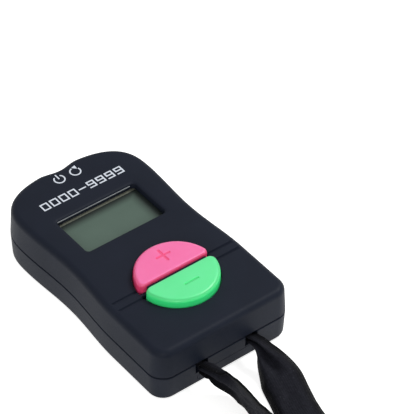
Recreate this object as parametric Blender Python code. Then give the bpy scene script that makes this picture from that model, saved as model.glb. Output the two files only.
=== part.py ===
import bpy
import bmesh
from math import atan2, cos, pi, radians, sin, sqrt
from mathutils import Matrix, Vector

# Digital finger counter: an electronic hand tally counter with a ribbon lanyard.
# Lengths are in millimetres and become metres where a mesh is made.
# X runs across the case, Y from the lanyard end to the reset end, Z up from the back face.

mm = 0.001
clearance = 0.3

# Case
caseHalfWidth = 19.1
caseLength = 66.3
caseHeight = 14.76
partingHeight = 6.95
wall = 1.5
floorThickness = 1.6
cornerRadius = 4.2
waistHalfWidth = 17.95
waistStart = 18.0
waistMiddle = 36.5
lobeLength = 13.3
lobeHalfWidth = 18.75
lobePower = 2.8
notchHalfWidth = 5.6
notchDepth = 0.9
frontDraft = 0.35
frontFillet = 1.7
backDraft = 0.25
backFillet = 1.1
lipThickness = 0.7
lipHeight = 0.8

# Display window
windowHalfWidth = 11.3
windowLength = 12.2
windowFromResetEnd = 22.7
windowRadius = 0.9
windowFlare = 0.8
windowFlareDepth = 0.45

# Count buttons: two half discs in one round hole
buttonCentre = 18.6
buttonRadius = 9.96
buttonSplit = 1.0
buttonProud = 2.2
buttonFillet = 0.7
buttonCorner = 0.5
buttonFlange = 0.95
buttonFlangeThickness = 0.9
buttonSkin = 1.6
buttonTravel = 0.6
buttonStemRadius = 1.7
bandHalfWidth = 17.3
bandWidth = 2.6
bandDepth = 0.35

# Reset button, on the parting line in the notch
resetRadius = 4.0
resetProud = 2.7
resetFillet = 1.2
resetFlange = 0.8
resetFlangeThickness = 1.0
resetTravel = 0.8

# Circuit board and what is on it
boardBottom = 8.3
boardThickness = 1.0
boardSideGap = 2.25
boardEndGap = 2.2
boardPostGap = 0.7
switchSize = 6.0
switchHeight = 1.6
switchOffset = 4.5
plungerRadius = 1.5
plungerHeight = 1.0
plungerProud = 0.7
resetSwitchWidth = 6.2
resetSwitchLength = 3.6
resetSwitchHeight = 3.1
chipFromWindow = 12.4
chipSide = 7.5
chipRadius = 3.6
chipHeight = 1.1

# Display
displayHalfWidth = 12.6
displayLength = 14.6
displayThickness = 1.7
holderRim = 1.0
zebraWidth = 1.6
zebraHalfLength = 10.8

# Battery, a standard LR44 button cell, and its door
cellRadius = 5.8
cellHeight = 5.4
doorHalfWidth = 7.4
doorLength = 18.9
doorThickness = 1.3
doorLipHeight = 3.2
doorTravel = 3.0
doorTabWidth = 1.0
doorHookThickness = 0.8
bayWall = 1.2

# Screws
lanyardScrewInset = 6.13
lanyardScrewY = 4.99
resetScrewInset = 5.77
resetScrewFromEnd = 11.24
postRadius = 3.1
postTop = 5.4
bossRadius = 2.6
counterboreRadius = 1.85
caseScrewHead = 1.5
caseScrewShank = 1.0
caseScrewSeat = 3.6
centreScrewFromWindow = 4.64
centrePostRadius = 2.7
centreBoreRadius = 1.5
centreScrewHead = 1.2
centreScrewShank = 0.7
centreScrewSeat = 5.0
centrePostTop = 5.9
screwHeadHeight = 1.0
boardScrewInset = 2.0
boardScrewFromStart = 2.2
boardBossRadius = 1.8

# Lanyard: a flat woven ribbon through two slots in the end wall
slotCentreX = 7.1
slotWidth = 3.5
slotBottom = 3.9
slotTop = 6.8
ribbonWidth = 9.6
ribbonThickness = 0.7
gatherHeight = 2.3
gatherThickness = 2.2
bightThickness = 1.6
coilRadius = 44.5
coilPitch = 3.6
coilCore = 39.0
coilEntryX = 7.0
coilEntryY = -63.3
coilLeadIn = 4.0
coilPointsPerTurn = 32

boardTop = boardBottom + boardThickness
doorTongue = doorTravel - 0.7
doorTabLength = doorTravel - 0.8
lipOuter = wall + clearance
lipInner = lipOuter + lipThickness
ceiling = caseHeight - floorThickness
lobeStart = caseLength - lobeLength
windowCentre = caseLength - windowFromResetEnd
centreScrewY = windowCentre - centreScrewFromWindow
resetSeat = caseLength - notchDepth
resetTip = resetSeat + resetProud
resetStop = resetSeat - lipInner - clearance
resetStemRadius = boardBottom - clearance - partingHeight
lanyardScrewX = caseHalfWidth - lanyardScrewInset
resetScrewX = lobeHalfWidth - resetScrewInset
resetScrewY = caseLength - resetScrewFromEnd
boardHalfWidth = waistHalfWidth - lipInner - boardSideGap
boardNeck = resetScrewX - postRadius - boardPostGap
boardStart = lanyardScrewY + postRadius + boardPostGap
boardShoulder = resetScrewY - postRadius - boardPostGap
boardEnd = resetStop - boardEndGap
boardScrewX = boardHalfWidth - boardScrewInset
boardScrewY = boardStart + boardScrewFromStart
cellCentre = lipInner + bightThickness + bayWall + 3 * clearance + cellRadius

bpy.ops.object.select_all(action='DESELECT')
for old in list(bpy.data.objects):
    bpy.data.objects.remove(old, do_unlink=True)

counter = bpy.data.collections.new('finger_counter')
cutters = bpy.data.collections.new('cutters')
for made in (counter, cutters):
    bpy.context.scene.collection.children.link(made)

# The empty puts the origin at the middle of the back face, reset button included.
base = bpy.data.objects.new('counter_frame', None)
base.location = (0, -resetTip / 2 * mm, 0)
counter.objects.link(base)


def material(name, colour, roughness, metallic=0.0):
    made = bpy.data.materials.new(name)
    made.use_nodes = True
    shader = made.node_tree.nodes['Principled BSDF']
    shader.inputs['Base Color'].default_value = (*colour, 1.0)
    shader.inputs['Roughness'].default_value = roughness
    shader.inputs['Metallic'].default_value = metallic
    made.diffuse_color = (*colour, 1.0)
    return made


caseBlack = material('case_black', (0.020, 0.024, 0.034), 0.55)
pink = material('pink_plastic', (1.0, 0.17, 0.42), 0.4)
green = material('green_plastic', (0.12, 0.86, 0.30), 0.4)
blue = material('blue_plastic', (0.22, 0.65, 0.92), 0.4)
displayGreen = material('display_glass', (0.11, 0.15, 0.13), 0.2)
boardGreen = material('circuit_board', (0.03, 0.20, 0.07), 0.5)
whitePlastic = material('white_plastic', (0.75, 0.75, 0.72), 0.5)
epoxy = material('black_epoxy', (0.01, 0.01, 0.01), 0.3)
steel = material('steel', (0.55, 0.56, 0.58), 0.35, 1.0)
rubber = material('zebra_rubber', (0.06, 0.06, 0.07), 0.7)
ribbonBlack = material('ribbon_black', (0.012, 0.012, 0.014), 0.6)


# Every shape below is a bmesh in millimetres; this makes it an object in metres.
def place(name, bm, look, origin=(0, 0, 0), sharp=30):
    bmesh.ops.translate(bm, verts=bm.verts, vec=-Vector(origin))
    bmesh.ops.scale(bm, verts=bm.verts, vec=(mm, mm, mm))
    mesh = bpy.data.meshes.new(name)
    bm.to_mesh(mesh)
    bm.free()
    made = bpy.data.objects.new(name, mesh)
    made.location = Vector(origin) * mm
    made.parent = base
    if look is None:
        cutters.objects.link(made)
        made.hide_render = True
        made.display_type = 'WIRE'
    else:
        counter.objects.link(made)
        mesh.materials.append(look)
        mesh.shade_smooth()
        mesh.set_sharp_from_angle(angle=radians(sharp))
    return made


def combine(target, bm, operation):
    order = len(target.modifiers)
    tool = place(f'{target.name}_tool_{order}', bm, None)
    change = target.modifiers.new(f'{operation.lower()}_{order}', 'BOOLEAN')
    change.operation = operation
    change.solver = 'EXACT'
    change.object = tool


def cut(target, *shapes):
    for bm in shapes:
        combine(target, bm, 'DIFFERENCE')


def add(target, *shapes):
    for bm in shapes:
        combine(target, bm, 'UNION')


def box(x, y, z):
    bm = bmesh.new()
    bmesh.ops.create_cube(bm, size=1.0)
    size = (x[1] - x[0], y[1] - y[0], z[1] - z[0])
    middle = ((x[0] + x[1]) / 2, (y[0] + y[1]) / 2, (z[0] + z[1]) / 2)
    bmesh.ops.scale(bm, verts=bm.verts, vec=size)
    bmesh.ops.translate(bm, verts=bm.verts, vec=middle)
    return bm


# A cylinder whose axis runs along Z, or along Y, from start to end
def rod(centre, radius, start, end, axis='Z', sides=24):
    bm = bmesh.new()
    bmesh.ops.create_cone(bm, cap_ends=True, segments=sides, radius1=radius, radius2=radius,
                          depth=end - start)
    bmesh.ops.translate(bm, verts=bm.verts, vec=(0, 0, (start + end) / 2))
    if axis == 'Y':
        bmesh.ops.rotate(bm, verts=bm.verts, matrix=Matrix.Rotation(-pi / 2, 3, 'X'))
        bmesh.ops.translate(bm, verts=bm.verts, vec=(centre[0], 0, centre[1]))
    else:
        bmesh.ops.translate(bm, verts=bm.verts, vec=(centre[0], centre[1], 0))
    return bm


def loft(rings):
    bm = bmesh.new()
    rows = [[bm.verts.new(point) for point in ring] for ring in rings]
    count = len(rings[0])
    for low, high in zip(rows, rows[1:]):
        for i in range(count):
            j = (i + 1) % count
            bm.faces.new((low[i], low[j], high[j], high[i]))
    bm.faces.new(list(reversed(rows[0])))
    bm.faces.new(rows[-1])
    bmesh.ops.recalc_face_normals(bm, faces=bm.faces)
    return bm


# A round profile of (radius, height) pairs turned about a vertical or lengthwise axis
def turned(profile, centre, axis='Z', sides=24):
    rings = []
    for radius, height in profile:
        ring = []
        for i in range(sides):
            angle = 2 * pi * i / sides
            across, along = radius * cos(angle), radius * sin(angle)
            if axis == 'Y':
                ring.append((centre[0] + across, height, centre[1] - along))
            else:
                ring.append((centre[0] + across, centre[1] + along, height))
        rings.append(ring)
    return loft(rings)


def quarter(radius, steps=4):
    return [(radius * (1 - cos(pi / 2 * i / steps)), radius * sin(pi / 2 * i / steps))
            for i in range(steps + 1)]


# The case outline at the parting line, as the right half from end to end and its mirror
def waistEase(y, start, end):
    return (1 - cos(pi * (y - start) / (end - start))) / 2


def lobeY(x):
    height = caseLength - lobeStart
    y = lobeStart + height * (1 - (x / lobeHalfWidth) ** lobePower) ** (1 / lobePower)
    if x < notchHalfWidth:
        y -= notchDepth * cos(pi / 2 * x / notchHalfWidth) ** 2
    return y


def caseOutline():
    half = [(0.0, 0.0)]
    arcCentre = caseHalfWidth - cornerRadius
    for i in range(7):
        angle = pi / 2 * i / 6
        half.append((arcCentre + cornerRadius * sin(angle), cornerRadius * (1 - cos(angle))))
    steps = 7
    for i in range(steps + 1):
        y = waistStart + (waistMiddle - waistStart) * i / steps
        half.append((caseHalfWidth - (caseHalfWidth - waistHalfWidth)
                     * waistEase(y, waistStart, waistMiddle), y))
    for i in range(1, steps):
        y = waistMiddle + (lobeStart - waistMiddle) * i / steps
        half.append((waistHalfWidth + (lobeHalfWidth - waistHalfWidth)
                     * waistEase(y, waistMiddle, lobeStart), y))
    for i in range(15):
        x = lobeHalfWidth * cos(pi / 2 * i / 16) ** (2 / lobePower)
        if x > notchHalfWidth:
            half.append((x, lobeY(x)))
    for i in range(6):
        x = notchHalfWidth * (1 - i / 6)
        half.append((x, lobeY(x)))
    half.append((0.0, lobeY(0.0)))
    return half + [(-x, y) for x, y in reversed(half[1:-1])]


def inset(outline, distance):
    moved = []
    count = len(outline)
    for i in range(count):
        before, here, after = (Vector(outline[k % count]) for k in (i - 1, i, i + 1))
        first, second = (here - before).normalized(), (after - here).normalized()
        inward = Vector((-first.y - second.y, first.x + second.x)).normalized()
        spread = max(0.5, inward.dot(Vector((-first.y, first.x))))
        moved.append(here + inward * distance / spread)
    return moved


def level(outline, z):
    return [(x, y, z) for x, y in outline]


outlineAtParting = caseOutline()


def caseLoft(stations):
    return loft([level(inset(outlineAtParting, step), z) for z, step in stations])


def roundedRectangle(halfWidth, length, centreY, radius, z, steps=3):
    ring = []
    for quadrant, (sx, sy) in enumerate(((1, 1), (-1, 1), (-1, -1), (1, -1))):
        for i in range(steps + 1):
            angle = pi / 2 * (quadrant + i / steps)
            ring.append((sx * (halfWidth - radius) + radius * cos(angle),
                         centreY + sy * (length / 2 - radius) + radius * sin(angle), z))
    return ring


def screwSites():
    rows = ((lanyardScrewX, lanyardScrewY), (resetScrewX, resetScrewY))
    return [(side * x, y) for x, y in rows for side in (-1, 1)]


# Slots for the ribbon, as wide as its gathered folds need
def slotCutter(side):
    low = side * slotCentreX - slotWidth / 2
    return box((low, low + slotWidth), (-1, lipInner + 1), (slotBottom, slotTop))


def frontShell():
    low = partingHeight + clearance / 2
    rim = caseHeight - frontFillet
    stations = [(low, 0), (rim, frontDraft)]
    stations += [(rim + rise, frontDraft + step) for step, rise in quarter(frontFillet, 5)[1:]]
    shell = place('front_shell', caseLoft(stations), caseBlack)
    innerRound = 1.0
    cut(shell, caseLoft([(low - 1, wall), (ceiling - innerRound, wall + frontDraft),
                         (ceiling, wall + frontDraft + innerRound)]))
    for x, y in screwSites():
        add(shell, rod((x, y), bossRadius, postTop + clearance, ceiling + 0.5))
        cut(shell, rod((x, y), caseScrewShank + clearance, postTop, ceiling - 1.5, sides=16))
    for side in (-1, 1):
        site = (side * boardScrewX, boardScrewY)
        add(shell, rod(site, boardBossRadius, boardTop + clearance, ceiling + 0.5, sides=16))
        cut(shell, rod(site, centreScrewShank + clearance, boardTop - 1, ceiling - 0.8,
                       sides=12))
    flare = windowHalfWidth + windowFlare, windowLength + 2 * windowFlare
    sill = caseHeight - windowFlareDepth
    cut(shell, loft([
        roundedRectangle(windowHalfWidth - 0.15, windowLength - 0.3, windowCentre, windowRadius,
                         ceiling - 1),
        roundedRectangle(windowHalfWidth, windowLength, windowCentre, windowRadius, sill),
        roundedRectangle(flare[0], flare[1], windowCentre, windowRadius + windowFlare,
                         caseHeight + 0.01),
        roundedRectangle(flare[0], flare[1], windowCentre, windowRadius + windowFlare,
                         caseHeight + 1)]))
    cut(shell, box((-bandHalfWidth, bandHalfWidth),
                   (buttonCentre - bandWidth / 2, buttonCentre + bandWidth / 2),
                   (caseHeight - bandDepth, caseHeight + 1)))
    cut(shell, rod((0, buttonCentre), buttonRadius + clearance, ceiling - 1, caseHeight + 1,
                   sides=64))
    cut(shell, resetHole())
    return shell


def resetHole():
    return rod((0, partingHeight), resetRadius + clearance, resetSeat - lipInner - 1,
               caseLength + 4, 'Y', sides=40)


def backShell():
    high = partingHeight - clearance / 2
    stations = [(rise, backDraft + step) for step, rise in
                [(backFillet * (1 - sin(pi / 2 * i / 4)), backFillet * (1 - cos(pi / 2 * i / 4)))
                 for i in range(4)]]
    stations += [(backFillet, backDraft), (high, 0)]
    shell = place('back_shell', caseLoft(stations), caseBlack)
    add(shell, caseLoft([(high - 1, lipOuter), (high + lipHeight, lipOuter)]))
    cut(shell, caseLoft([(floorThickness, lipInner + 0.8), (floorThickness + 0.8, lipInner),
                         (high + lipHeight + 1, lipInner)]))
    bay = doorHalfWidth + clearance
    bayStart = cellCentre - cellRadius - clearance - bayWall
    bayEnd = doorLength + clearance
    bayTop = partingHeight
    add(shell, box((-bay - bayWall, bay + bayWall), (bayStart, bayEnd + bayWall),
                   (floorThickness - 0.5, bayTop)))
    cut(shell, box((-bay, bay), (bayStart + bayWall, bayEnd), (floorThickness - 1, bayTop + 1)))
    rib = cellRadius + clearance
    add(shell, box((-bay - 0.5, -rib), (cellCentre - 1, cellCentre + 1),
                   (doorThickness + clearance, bayTop)))
    for x, y in screwSites():
        add(shell, rod((x, y), postRadius, floorThickness - 0.5, postTop))
        cut(shell, rod((x, y), bossRadius + clearance, postTop, partingHeight + 2))
        cut(shell, rod((x, y), counterboreRadius, -1, caseScrewSeat))
        cut(shell, rod((x, y), caseScrewShank + clearance, caseScrewSeat - 1,
                       caseScrewSeat + 4, sides=16))
    middle = (0, centreScrewY)
    add(shell, rod(middle, centrePostRadius, floorThickness - 0.5, centrePostTop))
    cut(shell, rod(middle, centreBoreRadius, -1, centreScrewSeat))
    cut(shell, rod(middle, centreScrewShank + clearance, centreScrewSeat - 1,
                   centreScrewSeat + 3, sides=16))
    cut(shell, box((-bay, bay), (-1, bayEnd), (-1, doorThickness + clearance)))
    cut(shell, box((-bay, bay), (-1, wall + lipInner), (-1, doorLipHeight + clearance)))
    tab = bay + doorTabWidth
    tabTop = floorThickness + doorHookThickness + 2 * clearance
    cut(shell, box((-tab, tab), (-1, doorTabLength + doorTabWidth + 1),
                   (floorThickness, tabTop)))
    for side in (-1, 1):
        inner, outer = doorTongueSpan(side)
        cut(shell, box((inner - clearance, outer + clearance),
                       (bayEnd - 0.5, bayEnd + bayWall + 0.5), (floorThickness, tabTop)))
        cut(shell, slotCutter(side))
    cut(shell, resetHole())
    return shell


# The tongues pass beside the cell as the door slides.
def doorTongueSpan(side):
    return sorted((side * (cellRadius + clearance), side * doorHalfWidth))


# The door rests flush in the back face. Its two tongues and two tabs lie over the case
# floor, and come free of it once the door has slid out by its travel.
def batteryDoor():
    origin = (0, doorLength / 2, doorThickness / 2)
    bm = box((-doorHalfWidth, doorHalfWidth), (0, doorLength), (0, doorThickness))
    door = place('battery_door', bm, caseBlack, origin)
    low = floorThickness + clearance
    high = low + doorHookThickness
    add(door, box((-doorHalfWidth, doorHalfWidth), (0, wall), (doorThickness - 0.5,
                                                              doorLipHeight)))
    add(door, box((-doorHalfWidth - doorTabWidth + clearance,
                   doorHalfWidth + doorTabWidth - clearance),
                  (clearance, doorTabLength), (low, high)))
    root = doorLength - 1.0
    for side in (-1, 1):
        span = doorTongueSpan(side)
        add(door, box(span, (root, doorLength - 0.1), (doorThickness - 0.5, high - 0.2)))
        add(door, box(span, (root + 0.2, doorLength + doorTongue), (low, high)))
    return door


# Half a disc with its straight edge toward the split; grow moves every edge outward
def halfDisc(radius, gap, z, steps=20):
    ring = []
    start = atan2(gap + buttonCorner, radius - buttonCorner)
    for i in range(steps + 1):
        angle = start + (pi - 2 * start) * i / steps
        ring.append((radius * cos(angle), buttonCentre + radius * sin(angle), z))
    for side in (-1, 1):
        edge = side * (sqrt(radius ** 2 - gap ** 2) - buttonCorner)
        ring.append((edge, buttonCentre + gap, z))
    return ring


def halfTurn(bm):
    bmesh.ops.rotate(bm, verts=bm.verts, cent=(0, buttonCentre, 0),
                     matrix=Matrix.Rotation(pi, 3, 'Z'))
    return bm


def countButton(name, look, side):
    flip = halfTurn if side < 0 else (lambda bm: bm)
    low = ceiling - 0.4 - buttonFlangeThickness
    seat = low + buttonFlangeThickness
    gap = buttonSplit / 2
    top = caseHeight + buttonProud
    rings = [halfDisc(buttonRadius + buttonFlange, gap + 0.15, low),
             halfDisc(buttonRadius + buttonFlange, gap + 0.15, seat),
             halfDisc(buttonRadius, gap, seat)]
    rings += [halfDisc(buttonRadius - step, gap + step, top - buttonFillet + rise)
              for step, rise in quarter(buttonFillet)]
    origin = (0, buttonCentre + side * buttonRadius / 2, seat)
    button = place(name, flip(loft(rings)), look, origin)
    inner = buttonRadius - buttonSkin
    ceilingZ = top - buttonSkin
    cut(button, flip(loft([halfDisc(inner, gap + buttonSkin, low - 1),
                           halfDisc(inner, gap + buttonSkin, ceilingZ)])))
    stem = (0, buttonCentre + switchOffset)
    add(button, flip(rod(stem, buttonStemRadius, plungerTop() + clearance, ceilingZ + 0.5)))
    return button


def switchTop():
    return boardTop + clearance + switchHeight


def plungerTop():
    return switchTop() + plungerProud


def countSwitch(name, side):
    y = buttonCentre + side * switchOffset
    half = switchSize / 2
    low = boardTop + clearance
    body = place(name, box((-half, half), (y - half, y + half), (low, switchTop())), epoxy,
                 (0, y, low))
    well = plungerTop() - plungerHeight - buttonTravel - clearance
    cut(body, rod((0, y), plungerRadius + clearance, well, switchTop() + 1, sides=20))
    plunger = rod((0, y), plungerRadius, plungerTop() - plungerHeight, plungerTop(), sides=20)
    place(f'{name}_plunger', plunger, whitePlastic, (0, y, plungerTop()))


# Its flange stops on the inside of the end wall, and its stem pushes the side switch.
def resetButton():
    flange = resetStop - resetFlangeThickness
    rings = [(resetStemRadius, resetPlungerFront() + clearance), (resetStemRadius, flange),
             (resetRadius + resetFlange, flange), (resetRadius + resetFlange, resetStop),
             (resetRadius, resetStop)]
    rings += [(resetRadius - step, resetTip - resetFillet + rise)
              for step, rise in quarter(resetFillet, 5)]
    button = turned(rings, (0, partingHeight), 'Y', 36)
    return place('reset_button', button, blue, (0, resetStop, partingHeight), 40)


def resetSwitchFront():
    return boardEnd - 1.3


def resetPlungerFront():
    return resetSwitchFront() + 1.0


def resetSwitch():
    half = resetSwitchWidth / 2
    front = resetSwitchFront()
    high = boardBottom - clearance
    body = box((-half, half), (front - resetSwitchLength, front),
               (high - resetSwitchHeight, high))
    switch = place('reset_switch', body, epoxy, (0, front, high))
    radius = resetSwitchHeight / 2 - 0.8
    middle = high - resetSwitchHeight / 2
    back = resetPlungerFront() - 2.2
    cut(switch, rod((0, middle), radius + clearance, back - resetTravel - clearance, front + 1,
                    'Y', sides=16))
    plunger = rod((0, middle), radius, back, resetPlungerFront(), 'Y', sides=16)
    place('reset_switch_plunger', plunger, whitePlastic, (0, front, middle))


def circuitBoard():
    corners = [(boardHalfWidth, boardStart), (boardHalfWidth, boardShoulder),
               (boardNeck, boardShoulder), (boardNeck, boardEnd)]
    outline = corners + [(-x, y) for x, y in reversed(corners)]
    board = place('circuit_board', loft([level(outline, boardBottom), level(outline, boardTop)]),
                  boardGreen)
    for side in (-1, 1):
        cut(board, rod((side * boardScrewX, boardScrewY), centreScrewShank + clearance,
                       boardBottom - 1, boardTop + 1, sides=16))
    cut(board, rod((0, centreScrewY), centrePostRadius, boardBottom - 1, boardTop + 1))
    return board


def chipBlob():
    low = boardTop + clearance
    profile = [(chipRadius, low), (chipRadius * 0.9, low + chipHeight * 0.5),
               (chipRadius * 0.6, low + chipHeight * 0.87), (chipRadius * 0.2, low + chipHeight)]
    middle = (-chipSide, windowCentre - chipFromWindow)
    place('chip_blob', turned(profile, middle), epoxy, (*middle, low), 60)


def displayBottom():
    return ceiling - clearance - displayThickness


def display():
    half = displayLength / 2
    low = displayBottom()
    panel = box((-displayHalfWidth, displayHalfWidth), (windowCentre - half, windowCentre + half),
                (low, low + displayThickness))
    place('lcd_panel', panel, displayGreen, (0, windowCentre, low))
    zebraY = windowCentre + half - zebraWidth / 2 - 0.4
    zebra = box((-zebraHalfLength, zebraHalfLength),
                (zebraY - zebraWidth / 2, zebraY + zebraWidth / 2),
                (boardTop + clearance, low - clearance))
    place('zebra_strip', zebra, rubber, (0, zebraY, low))
    displayHolder(zebraY)


# The holder frames the panel, stands on the board and takes the centre screw.
def displayHolder(zebraY):
    inX = displayHalfWidth + clearance
    inY = displayLength / 2 + clearance
    seat = displayBottom() - clearance
    low = boardTop + clearance
    body = box((-inX - holderRim, inX + holderRim),
               (windowCentre - inY - holderRim, windowCentre + inY + holderRim),
               (low, seat + displayThickness))
    holder = place('display_holder', body, whitePlastic, (0, windowCentre, low))
    cut(holder, box((-inX, inX), (windowCentre - inY, windowCentre + inY),
                    (seat, ceiling + 1)))
    slot = zebraWidth / 2 + clearance
    cut(holder, box((-zebraHalfLength - clearance, zebraHalfLength + clearance),
                    (zebraY - slot, zebraY + slot), (low - 1, ceiling)))
    add(holder, rod((0, centreScrewY), centrePostRadius - clearance,
                    centrePostTop + clearance, seat - 0.1))
    cut(holder, rod((0, centreScrewY), centreScrewShank + clearance, centreScrewSeat,
                    seat - 0.8, sides=16))


def batteryCell():
    low = doorThickness + clearance
    profile = [(cellRadius - 0.3, low), (cellRadius, low + 0.3),
               (cellRadius, low + cellHeight - 1.0), (cellRadius - 0.5, low + cellHeight - 0.8),
               (cellRadius - 0.7, low + cellHeight)]
    place('battery_cell', turned(profile, (0, cellCentre), sides=40), steel,
          (0, cellCentre, low), 40)


# A spring leaf from the board presses on top of the cell, another on the cell's side.
def batteryContacts():
    thick = 0.3
    under = boardBottom - clearance
    cellTop = doorThickness + clearance + cellHeight
    press = cellTop + clearance
    ends = (cellCentre + 5.5, cellCentre + 1.0, cellCentre - 2.0, cellCentre - 3.0)
    heights = (under - thick, press, press, press + 0.25)
    leaf = loft([[(-1.5, y, z), (1.5, y, z), (1.5, y, z + thick), (-1.5, y, z + thick)]
                 for y, z in zip(ends, heights)])
    place('battery_contact_negative', leaf, steel, (0, ends[0], under))
    inner = cellRadius + clearance
    side = box((inner, inner + thick), (cellCentre - 2, cellCentre + 2),
               (doorThickness + 2, under))
    contact = place('battery_contact_positive', side, steel, (inner, cellCentre, under))
    add(contact, box((inner, inner + 3.2), (cellCentre - 2, cellCentre + 2),
                     (under - thick, under)))


def screw(name, centre, seat, headRadius, shankRadius, tip, sink=0.5):
    head = seat - clearance
    profile = [(headRadius, head - screwHeadHeight), (headRadius, head), (shankRadius, head),
               (shankRadius, tip - shankRadius), (shankRadius * 0.4, tip)]
    made = place(name, turned(profile, centre, sides=20), steel, (*centre, head))
    width, reach = headRadius * 0.22, headRadius * 0.7
    depth = (head - screwHeadHeight - 1, head - screwHeadHeight + sink)
    x, y = centre
    cut(made, box((x - width, x + width), (y - reach, y + reach), depth))
    cut(made, box((x - reach, x + reach), (y - width, y + width), depth))


def screws():
    names = ('lanyard_left', 'lanyard_right', 'reset_left', 'reset_right')
    for name, site in zip(names, screwSites()):
        screw(f'case_screw_{name}', site, caseScrewSeat, caseScrewHead, caseScrewShank,
              ceiling - 2.5)
    screw('centre_screw', (0, centreScrewY), centreScrewSeat, centreScrewHead,
          centreScrewShank, displayBottom() - clearance - 1.2)
    for name, side in (('left', -1), ('right', 1)):
        screw(f'board_screw_{name}', (side * boardScrewX, boardScrewY), boardBottom, 1.3,
              centreScrewShank, ceiling - 1.4)


# One station of the ribbon: where it is, how wide and thick, and its tilt from lying flat
def smoothStations(stations, stepsPerSpan):
    def blend(a, b, c, d, t):
        return 0.5 * (2 * b + (c - a) * t + (2 * a - 5 * b + 4 * c - d) * t ** 2
                      + (3 * b - a - 3 * c + d) * t ** 3)
    padded = [stations[0]] + list(stations) + [stations[-1]]
    smooth = []
    for k in range(len(stations) - 1):
        for i in range(stepsPerSpan):
            t = i / stepsPerSpan
            smooth.append(tuple(blend(*values, t) for values in zip(*padded[k:k + 4])))
    smooth.append(tuple(stations[-1]))
    return smooth


def ribbon(name, stations):
    points = [Vector(s[:3]) for s in stations]
    rings = []
    last = len(points) - 1
    for i, (here, station) in enumerate(zip(points, stations)):
        heading = (points[min(i + 1, last)] - points[max(i - 1, 0)]).normalized()
        side = Vector((0, 0, 1)).cross(heading).normalized()
        up = heading.cross(side)
        width, thickness, tilt = station[3], station[4], radians(station[5])
        across = (cos(tilt) * side + sin(tilt) * up) * width / 2
        through = (cos(tilt) * up - sin(tilt) * side) * thickness / 2
        rings.append([here - across - through, here + across - through,
                      here + across + through, here - across + through])
    return place(name, loft(rings), ribbonBlack, points[0])


# The ribbon goes in at one slot, behind the wall between them, and out at the other.
def lanyardBight():
    behind = lipInner + clearance + bightThickness / 2
    middle = (slotBottom + slotTop) / 2
    turn = 1.4
    half = [(slotCentreX, clearance, gatherThickness), (slotCentreX, behind - turn, gatherThickness),
            (slotCentreX - 0.3 * turn, behind - 0.3 * turn, bightThickness),
            (slotCentreX - turn, behind, bightThickness)]
    route = [(-x, y, thick) for x, y, thick in half] + half[::-1]
    ribbon('lanyard_bight', [(x, y, middle, thick, gatherHeight, 0) for x, y, thick in route])


# The two strands as they lie in front of the case: the left one stands on edge, the right
# one opens out flat. x, y, z, width, thickness, tilt
leftStrand = [
    (-7.1, -0.05, 5.35, 2.3, 2.2, 90),
    (-6.3, -2.8, 5.3, 3.2, 1.5, 88),
    (-5.4, -5.4, 5.1, 6.0, 0.9, 86),
    (-5.2, -9.5, 5.0, 9.6, 0.7, 86),
    (-5.1, -15.0, 5.0, 9.6, 0.7, 84),
    (-5.2, -22.0, 5.0, 9.6, 0.7, 84),
    (-4.4, -31.0, 5.0, 9.6, 0.7, 88),
    (-1.6, -39.5, 5.0, 9.6, 0.7, 90),
    (1.6, -46.3, 5.0, 9.6, 0.7, 90),
    (4.7, -52.3, 5.0, 9.6, 0.7, 90),
    (6.7, -56.6, 5.0, 9.6, 0.7, 90),
    (7.0, -59.0, 5.0, 9.6, 0.7, 90)]
rightStrand = [
    (7.1, -0.05, 5.35, 2.3, 2.2, 70),
    (7.0, -2.8, 5.2, 3.2, 1.5, 60),
    (6.8, -6.4, 3.8, 7.0, 0.9, 35),
    (6.4, -11.0, 2.1, 9.6, 0.7, 16),
    (5.0, -16.0, 1.5, 9.6, 0.7, 10),
    (3.7, -21.5, 1.6, 9.6, 0.7, 12),
    (3.0, -28.0, 3.2, 9.6, 0.7, 38),
    (3.6, -35.0, 4.9, 9.6, 0.7, 75),
    (5.4, -42.5, 5.0, 9.6, 0.7, 90),
    (7.8, -48.6, 5.0, 9.6, 0.7, 90),
    (9.9, -54.2, 5.0, 9.6, 0.7, 90),
    (10.6, -59.0, 5.0, 9.6, 0.7, 90)]


# Both strands run side by side into a roll that stands on edge, meeting in its middle.
def rollRoute():
    centre = Vector((coilEntryX - coilRadius, coilEntryY))
    step = 2 * pi / coilPointsPerTurn

    def arm(outer):
        turn = pi * (outer - coilCore) / coilPitch
        count = round(turn / step)
        return [centre + (outer - coilPitch * turn * i / count / pi)
                * Vector((cos(turn * i / count), -sin(turn * i / count)))
                for i in range(count + 1)]

    leadIn = Vector((0, coilLeadIn))
    inward = arm(coilRadius)
    outward = arm(coilRadius + coilPitch)[::-1]
    tip = inward[-1] - centre
    core = []
    half = coilPointsPerTurn // 2
    for sign in (1, -1):
        for i in range(1, half):
            turn = Matrix.Rotation(-sign * pi * i / half, 2)
            core.append(centre + sign * tip / 2 + turn @ (tip / 2))
        if sign > 0:
            core.append(centre)
    return [inward[0] + leadIn] + inward + core + outward + [outward[-1] + leadIn]


def lanyardCoil():
    route = rollRoute()
    height = leftStrand[-1][2]
    ribbon('lanyard_coil', [(p.x, p.y, height, ribbonWidth, ribbonThickness, 90) for p in route])
    near = min((a - b).length for i, a in enumerate(route) for b in route[i + 6:])
    print(f'least gap of the lanyard roll to itself: {near - ribbonThickness:.2f} mm')
    total = sum((a - b).length for a, b in zip(route, route[1:]))
    for strand in (leftStrand, rightStrand):
        total += sum((Vector(a[:3]) - Vector(b[:3])).length for a, b in zip(strand, strand[1:]))
    print(f'lanyard outside the case: {total:.0f} mm')


def lanyard():
    lanyardBight()
    ribbon('lanyard_left_strand', smoothStations(leftStrand, 3))
    ribbon('lanyard_right_strand', smoothStations(rightStrand, 3))
    lanyardCoil()


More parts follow.
